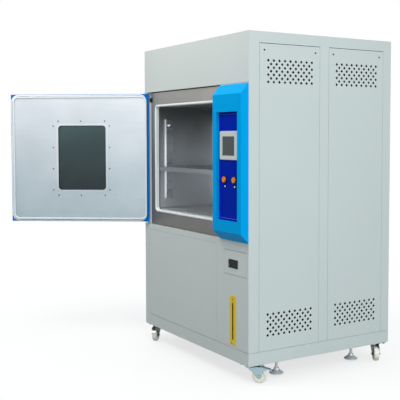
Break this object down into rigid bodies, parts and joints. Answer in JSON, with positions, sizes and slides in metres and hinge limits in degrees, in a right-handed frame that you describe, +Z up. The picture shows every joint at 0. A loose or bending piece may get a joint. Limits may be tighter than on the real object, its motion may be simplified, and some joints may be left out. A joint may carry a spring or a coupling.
{
  "type": "environmental test chamber",
  "caption": "Floor-standing climate test cabinet on casters with a hinged insulated door, a lined chamber with a shelf, a blue control column, a water drawer and vented side panels.",
  "frame": {"origin": "on the floor under the middle of the assembly's bounding box as it rests with its door open", "axes": "+Z up, -Y out of the front of the cabinet, +X towards the control column"},
  "size_m": [1.6814, 1.6704, 1.8],
  "materials": {
    "body_paint": "satin light grey",
    "azure_paint": "gloss azure blue",
    "door_paint": "gloss blue",
    "royal_panel": "gloss royal blue",
    "stainless": "brushed",
    "bright_stainless": "brushed, brighter",
    "white_rubber": "white silicone",
    "foam": "rigid foam",
    "window_glass": "tinted",
    "screen": "dark grey",
    "bezel_plastic": "light grey",
    "black_plastic": "black",
    "orange_plastic": "orange",
    "yellow_plate": "yellow",
    "clear_tube": "clear, smoked",
    "chrome": "polished",
    "zinc": "zinc plated",
    "caster_black": "black",
    "cream_tread": "cream nylon",
    "aluminium_fins": "mill",
    "motor_grey": "grey",
    "compressor_black": "black",
    "tank_plastic": "translucent white",
    "dark_stem": "dark"
  },
  "bodies": {
    "cabinet": {"base_frame": "body_paint", "left_side_panel": "body_paint", "top_hood": "body_paint", "back_panel": "body_paint", "right_side_frame": "body_paint", "service_panels": "body_paint", "front_frame": "body_paint", "lower_front_panel": "body_paint", "stainless_front_frame": "stainless", "chamber_liner": "stainless", "insulation_jacket": "foam", "chamber_gasket": "white_rubber", "shelf_pilasters": "stainless", "shelf_clips": "stainless", "air_duct_panel": "stainless", "heater_coil": "stainless", "evaporator_coil": "aluminium_fins", "fan_motor": "motor_grey", "compressor": "compressor_black", "condenser_coil": "aluminium_fins", "water_tank": "tank_plastic", "electrical_panel": "zinc", "column_housing": "azure_paint", "column_inner_panel": "royal_panel", "hmi_bezel": "bezel_plastic", "hmi_screen": "screen", "button_rings": "black_plastic", "level_gauge_plate": "yellow_plate", "level_gauge_tube": "clear_tube", "caster_plates": "caster_black", "door_switch": "black_plastic", "door_pivots": "zinc"},
    "shelf": {"shelf": "stainless"},
    "circulation_fan": {"fan_impeller": "aluminium_fins"},
    "condenser_fan": {"condenser_fan": "black_plastic"},
    "button_left": {"button_cap_left": "orange_plastic"},
    "button_right": {"button_cap_right": "orange_plastic"},
    "drawer": {"water_drawer": "body_paint", "latch_frame": "black_plastic"},
    "latch_paddle": {"latch_paddle": "black_plastic"},
    "lock": {"lock_barrel": "chrome"},
    "door": {"door_shell": "door_paint", "door_insulation": "foam", "door_inner_panel": "bright_stainless", "door_gasket": "white_rubber", "window_frames": "bright_stainless", "window_glass": "window_glass"},
    "door_handle": {"door_handle": "chrome"},
    "latch_bolt": {"latch_bolt": "chrome"},
    "levelling_feet": {"levelling_feet": "dark_stem"},
    "fork_front_left": {"caster_fork_front_left": "zinc"},
    "wheel_front_left": {"caster_wheel_front_left": "cream_tread"},
    "pedal_front_left": {"brake_pedal_front_left": "zinc"},
    "fork_front_right": {"caster_fork_front_right": "zinc"},
    "wheel_front_right": {"caster_wheel_front_right": "cream_tread"},
    "pedal_front_right": {"brake_pedal_front_right": "zinc"},
    "fork_rear_left": {"caster_fork_rear_left": "zinc"},
    "wheel_rear_left": {"caster_wheel_rear_left": "cream_tread"},
    "fork_rear_right": {"caster_fork_rear_right": "zinc"},
    "wheel_rear_right": {"caster_wheel_rear_right": "cream_tread"}
  },
  "joints": [
    {"name": "door_swing", "type": "hinge", "parent": "cabinet", "child": "door", "pos_m": [-0.30543, -0.13184, 1.14], "axis": [0, 0, -1], "range_deg": [-125, 10]},
    {"name": "door_handle_turn", "type": "hinge", "parent": "door", "child": "door_handle", "pos_m": [-0.80287, -0.7638, 1.14], "axis": [-0.8192, 0.5736, 0], "range_deg": [0, 90]},
    {"name": "latch_bolt_slide", "type": "slide", "parent": "door", "child": "latch_bolt", "axis": [-0.5736, -0.8192, 0], "range_m": [0, 0.014]},
    {"name": "shelf_slide", "type": "slide", "parent": "cabinet", "child": "shelf", "axis": [0, -1, 0], "range_m": [0, 0.35]},
    {"name": "water_drawer_slide", "type": "slide", "parent": "cabinet", "child": "drawer", "axis": [0, -1, 0], "range_m": [0, 0.24]},
    {"name": "latch_paddle_pull", "type": "hinge", "parent": "drawer", "child": "latch_paddle", "pos_m": [0.68557, -0.12684, 0.624], "axis": [-1, 0, 0], "range_deg": [0, 40], "stiffness_Nm_per_rad": 0.2},
    {"name": "drawer_lock_turn", "type": "hinge", "parent": "drawer", "child": "lock", "pos_m": [0.64457, -0.12984, 0.603], "axis": [0, -1, 0], "range_deg": [0, 90]},
    {"name": "button_left_press", "type": "slide", "parent": "cabinet", "child": "button_left", "axis": [0, 1, 0], "range_m": [0, 0.003], "stiffness_N_per_m": 600},
    {"name": "button_right_press", "type": "slide", "parent": "cabinet", "child": "button_right", "axis": [0, 1, 0], "range_m": [0, 0.003], "stiffness_N_per_m": 600},
    {"name": "circulation_fan_spin", "type": "hinge", "parent": "cabinet", "child": "circulation_fan", "pos_m": [0.13957, 0.48016, 1.21], "axis": [0, 1, 0], "continuous": true},
    {"name": "condenser_fan_spin", "type": "hinge", "parent": "cabinet", "child": "condenser_fan", "pos_m": [-0.03443, 0.75016, 0.37], "axis": [0, 1, 0], "continuous": true},
    {"name": "caster_front_left_swivel", "type": "hinge", "parent": "cabinet", "child": "fork_front_left", "pos_m": [-0.26943, -0.07484, 0.083], "axis": [0, 0, 1], "continuous": true},
    {"name": "caster_front_left_roll", "type": "hinge", "parent": "fork_front_left", "child": "wheel_front_left", "pos_m": [-0.23761, -0.10666, 0.038], "axis": [0.7071, 0.7071, 0], "continuous": true},
    {"name": "brake_front_left_press", "type": "hinge", "parent": "fork_front_left", "child": "pedal_front_left", "pos_m": [-0.22417, -0.12009, 0.076], "axis": [0.7071, 0.7071, 0], "range_deg": [0, 15]},
    {"name": "caster_front_right_swivel", "type": "hinge", "parent": "cabinet", "child": "fork_front_right", "pos_m": [0.76057, -0.07484, 0.083], "axis": [0, 0, 1], "continuous": true},
    {"name": "caster_front_right_roll", "type": "hinge", "parent": "fork_front_right", "child": "wheel_front_right", "pos_m": [0.7895, -0.04036, 0.038], "axis": [-0.766, 0.6428, 0], "continuous": true},
    {"name": "brake_front_right_press", "type": "hinge", "parent": "fork_front_right", "child": "pedal_front_right", "pos_m": [0.80171, -0.02581, 0.076], "axis": [-0.766, 0.6428, 0], "range_deg": [0, 15]},
    {"name": "caster_rear_left_swivel", "type": "hinge", "parent": "cabinet", "child": "fork_rear_left", "pos_m": [-0.26943, 0.78016, 0.083], "axis": [0, 0, 1], "continuous": true},
    {"name": "caster_rear_left_roll", "type": "hinge", "parent": "fork_rear_left", "child": "wheel_rear_left", "pos_m": [-0.24693, 0.74119, 0.038], "axis": [0.866, 0.5, 0], "continuous": true},
    {"name": "caster_rear_right_swivel", "type": "hinge", "parent": "cabinet", "child": "fork_rear_right", "pos_m": [0.76057, 0.78016, 0.083], "axis": [0, 0, 1], "continuous": true},
    {"name": "caster_rear_right_roll", "type": "hinge", "parent": "fork_rear_right", "child": "wheel_rear_right", "pos_m": [0.79915, 0.75699, 0.038], "axis": [0.515, 0.8572, 0], "continuous": true},
    {"name": "levelling_feet_screw", "type": "slide", "parent": "cabinet", "child": "levelling_feet", "axis": [0, 0, -1], "range_m": [-0.006, 0.0195]}
  ],
  "couplings": [
    {"joint": "latch_bolt_slide", "follows": "door_handle_turn", "m_per_rad": 0.00891}
  ]
}
